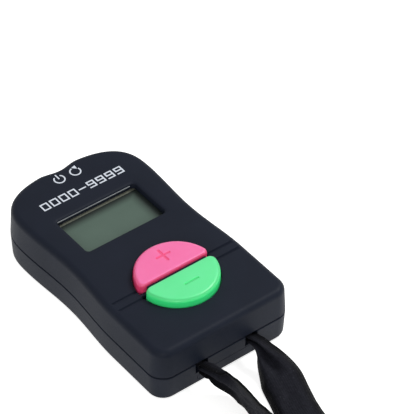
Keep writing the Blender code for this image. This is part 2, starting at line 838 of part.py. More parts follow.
frontShell()
backShell()
batteryDoor()
countButton('plus_button', pink, 1)
countButton('minus_button', green, -1)
resetButton()
circuitBoard()
countSwitch('plus_switch', 1)
countSwitch('minus_switch', -1)
resetSwitch()
chipBlob()
display()
batteryCell()
batteryContacts()
screws()
lanyard()
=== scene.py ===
from math import atan2, cos, pi, radians, sin, sqrt

import bmesh
import bpy
from mathutils import Matrix, Vector, noise


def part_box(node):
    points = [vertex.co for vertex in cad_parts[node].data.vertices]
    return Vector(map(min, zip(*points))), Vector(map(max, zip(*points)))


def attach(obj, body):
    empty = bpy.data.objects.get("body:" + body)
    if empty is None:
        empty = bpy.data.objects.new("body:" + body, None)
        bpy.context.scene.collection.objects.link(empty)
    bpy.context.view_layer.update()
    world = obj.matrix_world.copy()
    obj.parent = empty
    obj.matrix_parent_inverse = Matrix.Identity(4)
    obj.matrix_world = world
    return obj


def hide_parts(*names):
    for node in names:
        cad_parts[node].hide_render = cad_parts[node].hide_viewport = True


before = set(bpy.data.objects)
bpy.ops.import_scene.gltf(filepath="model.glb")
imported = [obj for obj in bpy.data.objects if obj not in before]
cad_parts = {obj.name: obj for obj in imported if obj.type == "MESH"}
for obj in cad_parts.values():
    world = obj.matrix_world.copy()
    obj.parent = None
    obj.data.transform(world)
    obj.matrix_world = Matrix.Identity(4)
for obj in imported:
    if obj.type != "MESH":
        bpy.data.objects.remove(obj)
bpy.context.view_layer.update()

# Digital finger counter: a black hand tally counter with a woven ribbon lanyard.
# Shapes are drawn in millimetres: X across the case, Y from the lanyard end to the
# reset end, Z up from the back face. finishPiece puts them in the frame, in metres.

mm = 0.001
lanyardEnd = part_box('back_shell')[0].y
origin = Vector((0, lanyardEnd, 0))      # where the drawings' zero lies in the frame


def nodeBox(node):
    return [(corner - origin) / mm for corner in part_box(node)]


# Camera: where the photograph was taken from, found by fitting the case to it

cameraForm = {
    'target': (22.95, 39.58, 8.0),
    'azimuth': -38.14,
    'elevation': 42.63,
    'roll': 0.57,
    'distance': 587.8,
    'focalPixels': 2471.6,   # focal length in pixels of the photograph
    'longSide': 414,         # the photograph is 400 x 414
    'sensor': 36.0,
}


def placeCamera(form):
    azimuth, elevation = radians(form['azimuth']), radians(form['elevation'])
    back = Vector((sin(azimuth) * cos(elevation), -cos(azimuth) * cos(elevation),
                   sin(elevation)))
    side = Vector((0, 0, 1)).cross(back).normalized()
    turn = Matrix.Rotation(radians(form['roll']), 3, back)
    axes = Matrix((turn @ side, turn @ back.cross(side), back)).transposed()
    camera = bpy.data.objects.new('camera', bpy.data.cameras.new('camera'))
    camera.data.sensor_width = form['sensor']
    camera.data.lens = form['focalPixels'] / form['longSide'] * form['sensor']
    camera.data.clip_start = 0.01
    middle = Vector(form['target']) * mm + origin
    place = Matrix.Translation(middle + back * form['distance'] * mm)
    camera.matrix_world = place @ axes.to_4x4()
    bpy.context.scene.collection.objects.link(camera)
    bpy.context.scene.camera = camera


placeCamera(cameraForm)
print('camera placed')


# Materials

def srgb(code):
    channels = [int(code[i:i + 2], 16) / 255 for i in (1, 3, 5)]
    linear = [c / 12.92 if c <= 0.04045 else ((c + 0.055) / 1.055) ** 2.4 for c in channels]
    return (*linear, 1.0)


# An input's name or number sets or links it, and another name is a setting of the node.
# Where a node stands for a socket, its first output in use is meant.
def setNode(tree, node, settings):
    for name, value in settings.items():
        if isinstance(value, bpy.types.Node):
            value = next(socket for socket in value.outputs if socket.enabled)
        if not isinstance(name, int) and name not in node.inputs:
            setattr(node, name, value)
        elif isinstance(value, bpy.types.NodeSocket):
            tree.links.new(value, node.inputs[name])
        else:
            node.inputs[name].default_value = value
    return node


def addNode(tree, kind, settings):
    return setNode(tree, tree.nodes.new(f'ShaderNode{kind}'), settings)


def newMaterial(name, settings):
    made = bpy.data.materials.new(name)
    made.use_nodes = True
    tree = made.node_tree
    return made, tree, setNode(tree, tree.nodes['Principled BSDF'], settings)


# Colour between two shades after a soft noise of the given size in millimetres
def blotches(tree, where, size, dark, light, detail=2.0, roughness=0.5):
    wander = addNode(tree, 'TexNoise', {'Vector': where, 'Scale': 1 / (size * mm),
                                        'Detail': detail, 'Roughness': roughness})
    return addNode(tree, 'Mix', {'data_type': 'RGBA', 0: wander, 6: srgb(dark), 7: srgb(light)})


# Roughness that wanders between two values, and the fine grain of the mould as a bump
def grain(tree, shader, where, size, depth, roughness):
    fine = addNode(tree, 'TexNoise', {'Vector': where, 'Scale': 1 / (size * mm), 'Detail': 3.0,
                                      'Roughness': 0.65})
    bump = addNode(tree, 'Bump', {'Height': fine, 'Strength': 1.0, 'Distance': depth * mm})
    sheen = addNode(tree, 'MapRange', {'Value': fine, 1: 0.3, 2: 0.7, 3: roughness[0],
                                       4: roughness[1]})
    setNode(tree, shader, {'Normal': bump, 'Roughness': sheen})


# A finish in one colour: shades are the size, dark, light and detail of its blotches, and
# surface the size, depth and roughness of its grain, which a stretch makes into scratches
def evenFinish(name, settings, shades, surface, stretch=None):
    made, tree, shader = newMaterial(name, settings)
    where = addNode(tree, 'TexCoord', {}).outputs['Object']
    setNode(tree, shader, {'Base Color': blotches(tree, where, *shades, roughness=0.6)})
    if stretch:
        where = addNode(tree, 'Mapping', {'Vector': where, 'Scale': stretch})
    grain(tree, shader, where, *surface)
    return made


# Parts inside the case in one colour, such as fibre board, epoxy and holder plastic
def innerPlastic(name, dark, light, roughness):
    return evenFinish(name, {'IOR': 1.5}, (2.5, dark, light, 4.0), (0.3, 0.01, roughness))


# Nickel-plated or blackened steel, drawn wire and pressed sheet: fine scratches one way
def plainSteel(name, dark, light, roughness):
    return evenFinish(name, {'Metallic': 1.0}, (1.2, dark, light, 5.0),
                      (0.6, 0.004, roughness), (1, 12, 1))


# Dyed ABS keycaps with a satin moulding: bright and softly shiny, the dye a little translucent.
# Walls get a deeper copy of the colour by which way they face, and marks a darker one: painted
# shade
def dyedAbs(name, dark, light, deep, pressed):
    made, tree, shader = newMaterial(name, {
        'IOR': 1.53, 'Specular IOR Level': 0.4, 'Subsurface Weight': 0.45,
        'Subsurface Radius': (1.0, 1.0, 1.0), 'Subsurface Scale': 2.4 * mm})
    where = addNode(tree, 'TexCoord', {})
    place = where.outputs['Object']
    facing = addNode(tree, 'SeparateXYZ', {'Vector': where.outputs['Normal']}).outputs[2]
    # painted shade: by which way they face, walls take the deeper colour
    wall = addNode(tree, 'MapRange', {'Value': facing, 1: 0.15, 2: 0.8, 3: 1.0, 4: 0.0})
    level = addNode(tree, 'SeparateXYZ', {'Vector': place}).outputs[2]
    # painted shade in the floors of the pressed marks, by their height below the key's top
    sunkShade = addNode(tree, 'MapRange', {'Value': level, 1: 16.9 * mm, 2: 16.74 * mm,
                                      3: 0.0, 4: 0.4})  # between a key's top and its marks
    above = addNode(tree, 'Math', {'operation': 'SUBTRACT', 0: 1.0, 1: wall, 'use_clamp': True})
    mark = addNode(tree, 'Math', {'operation': 'MULTIPLY', 0: sunkShade, 1: above})
    top = blotches(tree, place, 6, dark, light)
    face = addNode(tree, 'Mix', {'data_type': 'RGBA', 0: mark, 6: top, 7: srgb(pressed)})
    shade = addNode(tree, 'Mix', {'data_type': 'RGBA', 0: wall, 6: face, 7: srgb(deep)})
    setNode(tree, shader, {'Base Color': shade})
    grain(tree, shader, place, 0.35, 0.004, (0.28, 0.4))
    return made


# Polarising film on the display: matt grey-green, with a painted shadow of the window's walls
# darkening it toward the reset side and the right side of the glass
def polariserFilm():
    made, tree, shader = newMaterial('polariser_film', {'IOR': 1.49, 'Specular IOR Level': 0.4})
    where = addNode(tree, 'TexCoord', {}).outputs['Object']
    place = addNode(tree, 'SeparateXYZ', {'Vector': where})
    # painted shadow of the window's far and right walls, fading in from those edges
    sides = (1, 46.6 * mm + lanyardEnd, 49.6 * mm + lanyardEnd), (0, 7.6 * mm, 11.4 * mm)
    reset, right = [addNode(tree, 'MapRange', {
        'Value': place.outputs[axis], 'interpolation_type': 'SMOOTHSTEP', 1: start, 2: end,
        3: 0.0, 4: 1.0}) for axis, start, end in sides]
    wallShadow = addNode(tree, 'Math', {'operation': 'MAXIMUM', 0: reset, 1: right})
    clear = blotches(tree, where, 7, '#4b5e54', '#54675c')
    shade = addNode(tree, 'Mix', {'data_type': 'RGBA', 0: wallShadow, 6: clear, 7: srgb('#1f2624')})
    setNode(tree, shader, {'Base Color': shade})
    grain(tree, shader, where, 0.25, 0.003, (0.38, 0.5))
    return made


# Woven polyester ribbon: black, weft ribs across it and a faint satin sheen; painted shade
# darkens it toward both edges, where they curl, and pale specks are lint and painted glints of
# threads
def wovenRibbon():
    made, tree, shader = newMaterial('woven_polyester_ribbon', {
        'IOR': 1.5, 'Specular IOR Level': 0.07, 'Sheen Weight': 0.005, 'Sheen Roughness': 0.35,
        'Sheen Tint': srgb('#9aa2b0')})
    where = addNode(tree, 'TexCoord', {}).outputs['UV']
    parts = addNode(tree, 'SeparateXYZ', {'Vector': where})
    waves = []
    for axis, pitch in ((1, 0.42), (0, 0.5)):  # real weft 0.25 mm apart, wider so it shows
        turn = addNode(tree, 'Math', {'operation': 'MULTIPLY', 0: parts.outputs[axis],
                                      1: 2 * pi / pitch})
        waves.append(addNode(tree, 'Math', {'operation': 'SINE', 0: turn}))
    weave = addNode(tree, 'Math', {'operation': 'MULTIPLY_ADD', 0: waves[1], 1: 0.8,
                                   2: waves[0]})
    yarn = addNode(tree, 'TexNoise', {'Vector': where, 'Scale': 1.3, 'Detail': 6.0,
                                      'Roughness': 0.75})
    cloth = addNode(tree, 'Math', {'operation': 'MULTIPLY_ADD', 0: yarn, 1: 5.0, 2: weave})
    bump = addNode(tree, 'Bump', {'Height': cloth, 'Strength': 1.0, 'Distance': 0.02 * mm})
    shade = addNode(tree, 'Mix', {'data_type': 'RGBA', 0: yarn, 6: srgb('#08080a'),
                                  7: srgb('#31323b')})
    middle = addNode(tree, 'Math', {'operation': 'ABSOLUTE', 0: parts})
    # painted shade toward both edges of the ribbon, where they curl
    edgeShade = addNode(tree, 'MapRange', {'Value': middle, 'interpolation_type': 'SMOOTHSTEP',
                                          1: 2.4, 2: 4.4, 3: 0.0, 4: 0.85})
    shadedEdges = addNode(tree, 'Mix', {'data_type': 'RGBA', 0: edgeShade, 6: shade,
                                  7: srgb('#060607')})
    # pale specks: lint, and painted glints of threads catching light
    speckNoise = addNode(tree, 'TexNoise', {'Vector': where, 'Scale': 2.6, 'Detail': 2.0})
    lintAndGlint = addNode(tree, 'MapRange', {'Value': speckNoise, 1: 0.69, 2: 0.76, 3: 0.0, 4: 0.5})
    threads = addNode(tree, 'Mix', {'data_type': 'RGBA', 0: lintAndGlint, 6: shadedEdges,
                                    7: srgb('#626368')})
    gloss = addNode(tree, 'MapRange', {'Value': weave, 1: -1.0, 2: 1.0, 3: 0.78, 4: 0.6})
    setNode(tree, shader, {'Normal': bump, 'Base Color': threads, 'Roughness': gloss})
    return made


# Injection-moulded ABS with a spark-eroded texture: dull, close to black, a little blue.
# The real grit is 0.1 mm, drawn coarser
blackAbs = evenFinish('moulded_abs_black', {'IOR': 1.53, 'Specular IOR Level': 0.11},
                      (9.0, '#171c27', '#1d222f'), (0.22, 0.012, (0.46, 0.6)))
# Keycaps: the top's two shades, then the painted shade of the walls and of the marks
pinkAbs = dyedAbs('dyed_abs_pink', '#fb70a8', '#ff7db4', '#ff4679', '#f2265a')
greenAbs = dyedAbs('dyed_abs_green', '#62e997', '#6ef0a2', '#40ff8f', '#1fb85c')
blueAbs = dyedAbs('dyed_abs_blue', '#7ccdf2', '#8ad8fb', '#6cc4f2', '#4aa6d8')
filmGreen = polariserFilm()
# Float glass of the display, seen from the side where the film ends: olive and glossy
glassOlive = evenFinish('display_glass', {'IOR': 1.52}, (0.8, '#63665a', '#84867a', 4.0),
                        (0.3, 0.002, (0.12, 0.25)))
# Screen-printed ink: white, thin, a little uneven where the mesh left it
inkWhite = evenFinish('screen_ink_white', {'IOR': 1.5, 'Specular IOR Level': 0.3},
                      (0.4, '#c9d2dd', '#e6ebf3', 4.0), (0.2, 0.004, (0.5, 0.7)))
ribbonBlack = wovenRibbon()
nickelSteel = plainSteel('nickel_plated_steel', '#a9aaa6', '#c4c4c0', (0.22, 0.38))
blackSteel = plainSteel('black_zinc_steel', '#1b1c20', '#303238', (0.35, 0.5))
boardGreen = innerPlastic('solder_mask_green', '#0c4a22', '#17602f', (0.35, 0.5))
holderWhite = innerPlastic('moulded_abs_natural', '#d9d7cb', '#e6e4da', (0.45, 0.6))
epoxyBlack = innerPlastic('potting_epoxy_black', '#0b0b0c', '#151516', (0.2, 0.35))
# Pale strip along the window's far wall: the clear window's cut edge, its paleness a painted
# highlight
cutEdgeAndHighlight = innerPlastic('cut_edge_and_painted_highlight', '#4c5154', '#a2a7a9', (0.15, 0.3))
stripRubber = innerPlastic('carbon_silicone_strip', '#1d1d1f', '#3a3a3d', (0.6, 0.8))
print('materials mixed')


# Making pieces

def newObject(name, bm):
    mesh = bpy.data.meshes.new(name)
    bmesh.ops.recalc_face_normals(bm, faces=bm.faces)
    bm.to_mesh(mesh)
    bm.free()
    made = bpy.data.objects.new(name, mesh)
    bpy.context.scene.collection.objects.link(made)
    return made


# Joins a shape to a piece or cuts it away, and keeps the result as the piece's mesh
def combine(piece, bm, operation='DIFFERENCE'):
    tool = newObject('tool', bm)
    change = piece.modifiers.new('combine', 'BOOLEAN')
    change.operation = operation
    change.solver = 'EXACT'
    change.object = tool
    bpy.context.view_layer.update()
    result = piece.evaluated_get(bpy.context.evaluated_depsgraph_get())
    kept, piece.data = piece.data, bpy.data.meshes.new_from_object(result)
    piece.modifiers.clear()
    piece.data.name = piece.name
    bpy.data.meshes.remove(kept)
    bpy.data.meshes.remove(tool.data)


def carve(piece, *shapes):
    for bm in shapes:
        combine(piece, bm)


def weld(piece, *shapes):
    for bm in shapes:
        combine(piece, bm, 'UNION')


# Into the frame, in metres, with its material, body and the nodes it stands for
def finishPiece(piece, material, body, nodes=(), edge=0.0, sharp=32):
    piece.data.transform(Matrix.Translation(origin) @ Matrix.Scale(mm, 4))
    piece.data.materials.clear()
    piece.data.materials.append(material)
    piece.data.shade_smooth()
    piece.data.set_sharp_from_angle(angle=radians(sharp))
    if edge:
        soft = piece.modifiers.new('edge', 'BEVEL')
        soft.width = edge * mm
        soft.segments = 2
        soft.limit_method = 'ANGLE'
        soft.angle_limit = radians(sharp)
        soft.harden_normals = True
    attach(piece, body)
    if nodes:
        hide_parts(*nodes)
    return piece


def shift(bm, x, y, z):
    bmesh.ops.translate(bm, verts=bm.verts, vec=(x, y, z))
    return bm


def boxShape(x, y, z):
    bm = bmesh.new()
    bmesh.ops.create_cube(bm, size=1.0)
    low, high = Vector((x[0], y[0], z[0])), Vector((x[1], y[1], z[1]))
    bmesh.ops.scale(bm, verts=bm.verts, vec=high - low)
    return shift(bm, *(low + high) / 2)


def rodShape(x, y, radius, low, high, sides=32):
    bm = bmesh.new()
    bmesh.ops.create_cone(bm, cap_ends=True, segments=sides, radius1=radius, radius2=radius,
                          depth=high - low)
    return shift(bm, x, y, (low + high) / 2)


# A profile of (radius, height) points spun about Z; it starts and ends on the axis
def spunShape(profile, x, y, sides=48):
    bm = bmesh.new()
    points = [bm.verts.new((radius, 0, z)) for radius, z in profile]
    edges = [bm.edges.new(pair) for pair in zip(points, points[1:])]
    bmesh.ops.spin(bm, geom=points + edges, cent=(0, 0, 0), axis=(0, 0, 1), angle=2 * pi,
                   steps=sides, use_merge=True)
    bmesh.ops.remove_doubles(bm, verts=bm.verts, dist=0.001)
    return shift(bm, x, y, 0)


# Turns a shape that was made about Z so that its axis runs toward the reset end
def layAlongY(bm, x, z):
    bmesh.ops.rotate(bm, verts=bm.verts, matrix=Matrix.Rotation(-pi / 2, 3, 'X'))
    return shift(bm, x, 0, z)


def arc(radius, start, end, steps):
    return [(radius * cos(start + (end - start) * i / steps),
             radius * sin(start + (end - start) * i / steps)) for i in range(steps + 1)]


# Lanyard: one woven ribbon, out of the left slot, rolled up out of view, into the right slot

ribbonForm = {
    'width': 9.6,
    'thickness': 0.42,
    'columns': 28,        # faces across the ribbon
    'step': 0.85,         # length of a row of faces
    'folds': 4,           # half waves where it is gathered in a slot
    'ripple': 0.28,       # slow waves along it
    'crumple': 0.34,      # finer ones just outside the case
    'coilRadius': 44.5,
    'coilPitch': 3.6,
    'coilCore': 39.0,
    'coilEntry': (7.0, -63.3),
    'coilHeight': 5.0,
    'pointsPerTurn': 48,
    # x, y, z, width as it lies, tilt from lying flat
    'leftStrand': [
        (-7.1, -0.05, 5.35, 2.3, 90), (-6.9, -1.6, 5.55, 3.4, 92), (-6.5, -3.2, 5.8, 3.8, 95),
        (-5.6, -4.9, 4.9, 5.9, 98), (-5.0, -7.0, 4.6, 8.2, 100), (-5.1, -10.0, 4.9, 9.5, 101),
        (-5.2, -15.0, 4.9, 9.6, 100), (-5.5, -22.0, 4.9, 9.6, 101), (-4.7, -31.0, 5.0, 9.6, 94),
        (-1.6, -39.5, 5.0, 9.6, 90), (1.6, -46.3, 5.0, 9.6, 90), (4.7, -52.3, 5.0, 9.6, 90),
        (6.7, -56.6, 5.0, 9.6, 90), (7.0, -59.0, 5.0, 9.6, 90)],
    'rightStrand': [
        (7.1, -0.05, 5.35, 2.3, 70), (7.1, -3.2, 5.75, 3.2, 58), (6.9, -6.6, 3.9, 6.8, 34),
        (6.3, -11.0, 3.1, 9.4, 17), (4.9, -16.0, 2.7, 9.5, 12), (3.2, -21.5, 2.6, 9.6, 10),
        (2.3, -27.5, 2.4, 9.6, 11), (2.4, -31.5, 3.1, 9.6, 26), (3.4, -36.5, 4.8, 9.6, 66),
        (5.4, -42.5, 5.0, 9.6, 90), (7.8, -48.6, 5.0, 9.6, 90), (9.9, -54.2, 5.0, 9.6, 90),
        (10.6, -59.0, 5.0, 9.6, 90)],
    'curl': 1.4,          # how far the right strand's edges bend down near the case
    'curlFrom': 0.66,     # from the middle, as a share of half its width
    'curlLength': 34,
}


# A smooth curve through the stations, place, width and tilt alike
def smoothStations(stations, steps):
    padded = [stations[0]] + list(stations) + [stations[-1]]
    smooth = []
    for k in range(len(stations) - 1):
        a, b, c, d = (Vector(s) for s in padded[k:k + 4])
        for i in range(steps):
            t = i / steps
            smooth.append(0.5 * (2 * b + (c - a) * t + (2 * a - 5 * b + 4 * c - d) * t ** 2
                                 + (3 * b - a - 3 * c + d) * t ** 3))
    return smooth + [Vector(stations[-1])]


# Both strands enter the roll side by side and meet in an S at its middle.
def rollStations(form):
    centre = Vector(form['coilEntry']) - Vector((form['coilRadius'], 0))
    pitch, core = form['coilPitch'], form['coilCore']
    step = 2 * pi / form['pointsPerTurn']

    def arm(outer):
        turn = pi * (outer - core) / pitch
        count = round(turn / step)
        return [centre + (outer - pitch * turn * i / count / pi)
                * Vector((cos(turn * i / count), -sin(turn * i / count)))
                for i in range(count + 1)]

    inward = arm(form['coilRadius'])
    outward = arm(form['coilRadius'] + pitch)[::-1]
    tip = inward[-1] - centre
    middle = []
    half = form['pointsPerTurn'] // 2
    for sign in (1, -1):
        for i in range(1, half):
            turn = Matrix.Rotation(-sign * pi * i / half, 2)
            middle.append(centre + sign * tip / 2 + turn @ (tip / 2))
        if sign > 0:
            middle.append(centre)
    return [Vector((*p, form['coilHeight'], form['width'], 90)) for p in
            inward + middle + outward]


def ribbonStations(form):
    left = smoothStations(form['leftStrand'], 10)
    right = smoothStations(form['rightStrand'], 10)
    for station in right:
        station[4] = 180 - station[4]
    return left + rollStations(form) + right[::-1]


# Rows an even step apart along the stations
def evenRows(stations, step):
    lengths = [0.0]
    for a, b in zip(stations, stations[1:]):
        lengths.append(lengths[-1] + (b.to_3d() - a.to_3d()).length)
    count = round(lengths[-1] / step)
    rows, k = [], 0
    for i in range(count + 1):
        at = lengths[-1] * i / count
        while k < len(lengths) - 2 and lengths[k + 1] < at:
            k += 1
        share = (at - lengths[k]) / (lengths[k + 1] - lengths[k])
        rows.append(stations[k].lerp(stations[k + 1], share))
    return rows, lengths[-1]


# How far the cloth stands off its middle plane: deep folds where it is drawn together,
# crumples just outside the case and a slow ripple everywhere else
def foldDepth(form, across, along, width):
    strip = form['width'] / form['folds']
    deep = sqrt(max(0.0, strip ** 2 - (width / form['folds']) ** 2)) / 2
    wander = 0.35 * noise.noise(Vector((along * 0.11, 3.0, 0)))
    fold = deep * cos(pi * form['folds'] * ((across + 1) / 2 + 0.12 * wander))
    ripple = noise.noise(Vector((along * 0.085, across * 0.9, 7.0)))
    crumple = noise.noise(Vector((along * 0.3, across * 2.1, 11.0)))
    crumple += 0.5 * noise.noise(Vector((along * 0.62, across * 3.6, 15.0)))
    fresh = min(1.0, along / 2) * max(0.12, 1 - along / 60)
    return (fold + form['ripple'] * ripple * min(1.0, along / 12)
            + form['crumple'] * crumple * fresh)


# A strip of cloth through the points. Its UV is in millimetres, and place gives a vertex
# from its point, its share across from -1 to 1, its row, and the directions side and up.
def clothStrip(name, points, columns, size, thickness, place):
    last = len(points) - 1
    bm = bmesh.new()
    bmesh.ops.create_grid(bm, x_segments=columns, y_segments=last, size=0.5)
    pattern = bm.loops.layers.uv.new('weave')
    for face in bm.faces:
        for loop in face.loops:
            loop[pattern].uv = (loop.vert.co.x * size[0], (loop.vert.co.y + 0.5) * size[1])
    for v in bm.verts:
        across, i = v.co.x * 2, round((v.co.y + 0.5) * last)
        heading = (points[min(i + 1, last)] - points[max(i - 1, 0)]).normalized()
        side = Vector((0, 0, 1)).cross(heading).normalized()
        v.co = place(points[i], across, i, side, heading.cross(side))
    strip = newObject(name, bm)
    cloth = strip.modifiers.new('cloth', 'SOLIDIFY')
    cloth.thickness = thickness * mm
    cloth.offset = 0.0
    return strip


# Ribbon bight: the folded stretch inside the case, from one slot to the other

bightForm = {
    'width': 2.3,
    'z': 5.35,
    'folded': 1.1,        # how thick its folds make it
    'cloth': 0.3,
    'turn': 1.4,
}


def makeBight(form, ribbon):
    behind = nodeBox('lanyard_bight')[1].y - 0.8
    reach, turn = ribbon['rightStrand'][0][0], form['turn']
    half = [(reach, 0.25), (reach, 1.2), (reach, behind - turn)]
    half += [(reach - turn + x, behind - turn + y) for x, y in arc(turn, 0, pi / 2, 8)]
    route = [Vector((x, y, form['z'])) for x, y in half + [(-x, y) for x, y in reversed(half)]]

    def gathered(point, across, i, side, up):
        fold = cos(pi * ribbon['folds'] * (across + 1) / 2) * form['folded'] / 2
        return point + Vector((0, 0, across * form['width'] / 2)) + side * fold

    strip = clothStrip('lanyard_folded_bight', route, 10, (ribbon['width'], len(route) - 1),
                       form['cloth'], gathered)
    return finishPiece(strip, ribbonBlack, 'case', ['lanyard_bight'], sharp=60)


def makeRibbon(form, bight):
    rows, total = evenRows(ribbonStations(form), form['step'])
    points = [row.to_3d() for row in rows]
    last = len(rows) - 1

    def laid(point, across, i, side, up):
        width, tilt = rows[i][3], radians(rows[i][4])
        flat = cos(tilt) * side + sin(tilt) * up
        through = cos(tilt) * up - sin(tilt) * side
        near = min(i, last - i) * form['step']
        lift = foldDepth(form, across, near, width)
        if i > last / 2:  # the right strand, which lies on the floor
            edge = max(0.0, abs(across) - form['curlFrom']) / (1 - form['curlFrom'])
            fade = max(0.0, min((near - 4) / 5, (form['curlLength'] - near) / 8, 1.0))
            lift += form['curl'] * edge ** 2 * fade
        return point + flat * across * width / 2 + through * lift

    piece = clothStrip('lanyard_ribbon', points, form['columns'], (form['width'], total),
                       form['thickness'], laid)
    finishPiece(piece, ribbonBlack, 'case',
                ('lanyard_left_strand', 'lanyard_right_strand', 'lanyard_coil'), sharp=60)
    print(f'ribbon {total:.0f} mm long outside the case')


makeRibbon(ribbonForm, makeBight(bightForm, ribbonForm))


# Case outline, shared by both covers: the widest line, at the parting

caseForm = {
    'halfWidth': 19.1,
    'length': 66.3,
    'height': 14.76,
    'parting': 6.95,
    'corner': 4.2,
    'waist': 17.95,
    'waistStart': 18.0,
    'waistMiddle': 36.5,
    'lobeStart': 53.0,
    'lobeHalfWidth': 18.75,
    'lobePower': 2.8,
    'notchHalfWidth': 5.6,
    'notchDepth': 0.9,
    'wall': 1.5,
    'lipOuter': 1.8,
    'lipInner': 2.5,
    'gap': 0.3,
    'ceiling': 13.16,
    'screws': ((-12.97, 4.99), (12.97, 4.99), (-12.98, 55.06), (12.98, 55.06)),
    'centreScrew': (0, 38.96),
    'boardScrews': ((-11.2, 10.99), (11.2, 10.99)),
    'slotCentre': 7.1,
    'slotWidth': 3.5,
    'slotBottom': 3.9,
    'slotTop': 6.8,
    'resetHole': (4.3, 59, 70),      # radius, from, to
}


def caseOutline(form):
    half = [(0.0, 0.0)]
    corner = form['corner']
    half += [(form['halfWidth'] - corner + x, corner + y)
             for x, y in arc(corner, -pi / 2, 0, 12)]

    def side(start, end, wide, narrow, steps):
        for i in range(steps + 1):
            ease = (1 - cos(pi * i / steps)) / 2
            yield wide + (narrow - wide) * ease, start + (end - start) * i / steps

    half += side(form['waistStart'], form['waistMiddle'], form['halfWidth'], form['waist'], 14)
    half += list(side(form['waistMiddle'], form['lobeStart'], form['waist'],
                      form['lobeHalfWidth'], 14))[1:-1]
    height, power = form['length'] - form['lobeStart'], form['lobePower']
    notch = form['notchHalfWidth']
    across = [form['lobeHalfWidth'] * cos(pi / 2 * i / 30) ** (2 / power) for i in range(30)]
    across = [x for x in across if x > notch + 0.3] + [notch * (1 - i / 12) for i in range(13)]
    for x in across:
        y = form['lobeStart'] + height * (1 - (x / form['lobeHalfWidth']) ** power) ** (1 / power)
        if x < notch:
            y -= form['notchDepth'] * cos(pi / 2 * x / notch) ** 2
        half.append((x, y))
    return half + [(-x, y) for x, y in reversed(half[1:-1])]


# The outline moved inward by a distance and set at a height
def insetLevel(outline, distance, z):
    count, moved = len(outline), []
    for i in range(count):
        before, here, after = (Vector(outline[k % count]) for k in (i - 1, i, i + 1))
        first, second = (here - before).normalized(), (after - here).normalized()
        inward = Vector((-first.y - second.y, first.x + second.x)).normalized()
        spread = max(0.5, inward.dot(Vector((-first.y, first.x))))
        moved.append((*(here + inward * distance / spread), z))
    return moved


# A solid pulled up from its first ring through the others, point by point
def pullUp(rings):
    bm = bmesh.new()
    here = [bm.verts.new(point) for point in rings[0]]
    top = bm.faces.new(here)
    for i, ring in enumerate(rings[1:]):
        under = top
        grown = bmesh.ops.extrude_face_region(bm, geom=[under])['geom']
        fresh = {v for v in grown if isinstance(v, bmesh.types.BMVert)}
        top = next(face for face in grown if isinstance(face, bmesh.types.BMFace))
        here = [next(edge.other_vert(v) for edge in v.link_edges
                     if edge.other_vert(v) in fresh) for v in here]
        for v, point in zip(here, ring):
            v.co = point
        if i:
            bmesh.ops.delete(bm, geom=[under], context='FACES_ONLY')
    return bm


outline = caseOutline(caseForm)


def caseSolid(levels):
    return pullUp([insetLevel(outline, distance, z) for z, distance in levels])


# A rounded rectangle as a ring of points
def roundedRing(halfWidth, length, y, radius, z, steps=6):
    ring = []
    for quadrant, (sx, sy) in enumerate(((1, 1), (-1, 1), (-1, -1), (1, -1))):
        ring += [(sx * (halfWidth - radius) + px, y + sy * (length / 2 - radius) + py, z)
                 for px, py in arc(radius, pi / 2 * quadrant, pi / 2 * (quadrant + 1), steps)]
    return ring


def slotShape(form, side):
    low = side * form['slotCentre'] - form['slotWidth'] / 2
    return boxShape((low, low + form['slotWidth']), (-1, form['lipInner'] + 1),
                    (form['slotBottom'], form['slotTop']))


def resetHole(form):
    return layAlongY(rodShape(0, 0, *form['resetHole'], 64), 0, form['parting'])


# Front cover: display window, round hole of the two keys and the two grooves beside it

coverForm = {
    'draft': 0.35,
    'fillet': 1.7,
    'filletSteps': 8,
    'partingBevel': 0.14,
    'windowHalfWidth': 11.3,
    'windowLength': 12.7,
    'windowCentre': 43.85,
    'windowRadius': 0.9,
    'flare': 1.0,
    'flareDepth': 0.45,
    'flareSteps': 5,
    'keyHole': 10.26,
    'keyCentre': 18.6,
    'bandHalfWidth': 17.3,
    'bands': (17.6, 20.2),
    'grooveWidth': 0.85,
    'grooveFloor': 0.45,
    'grooveDepth': 0.36,
    'bar': (10.5, 0.3, 14.7),        # half length, half width and top, in the keys' split
    # a black ridge on the bar up in the split; its dark top stands in for the shade deep in the
    # split
    'barRidge': (8.3, 0.28, 16.2),
    'boss': (2.6, 5.7),              # radius and lower end
    'bossBore': (1.3, 5.4),
    'boardBoss': (1.8, 9.6),
    'boardBore': (1.0, 8.3),
}


# A groove with sloped sides that runs out at both ends
def grooveShape(y, halfLength, width, depth, top, floor=0.12):
    def ring(z, half, reach):
        return [(-reach, y - half, z), (reach, y - half, z), (reach, y + half, z),
                (-reach, y + half, z)]
    return pullUp([ring(top - depth, floor / 2, halfLength - depth * 2),
                   ring(top, width / 2, halfLength), ring(top + 0.5, width / 2, halfLength)])


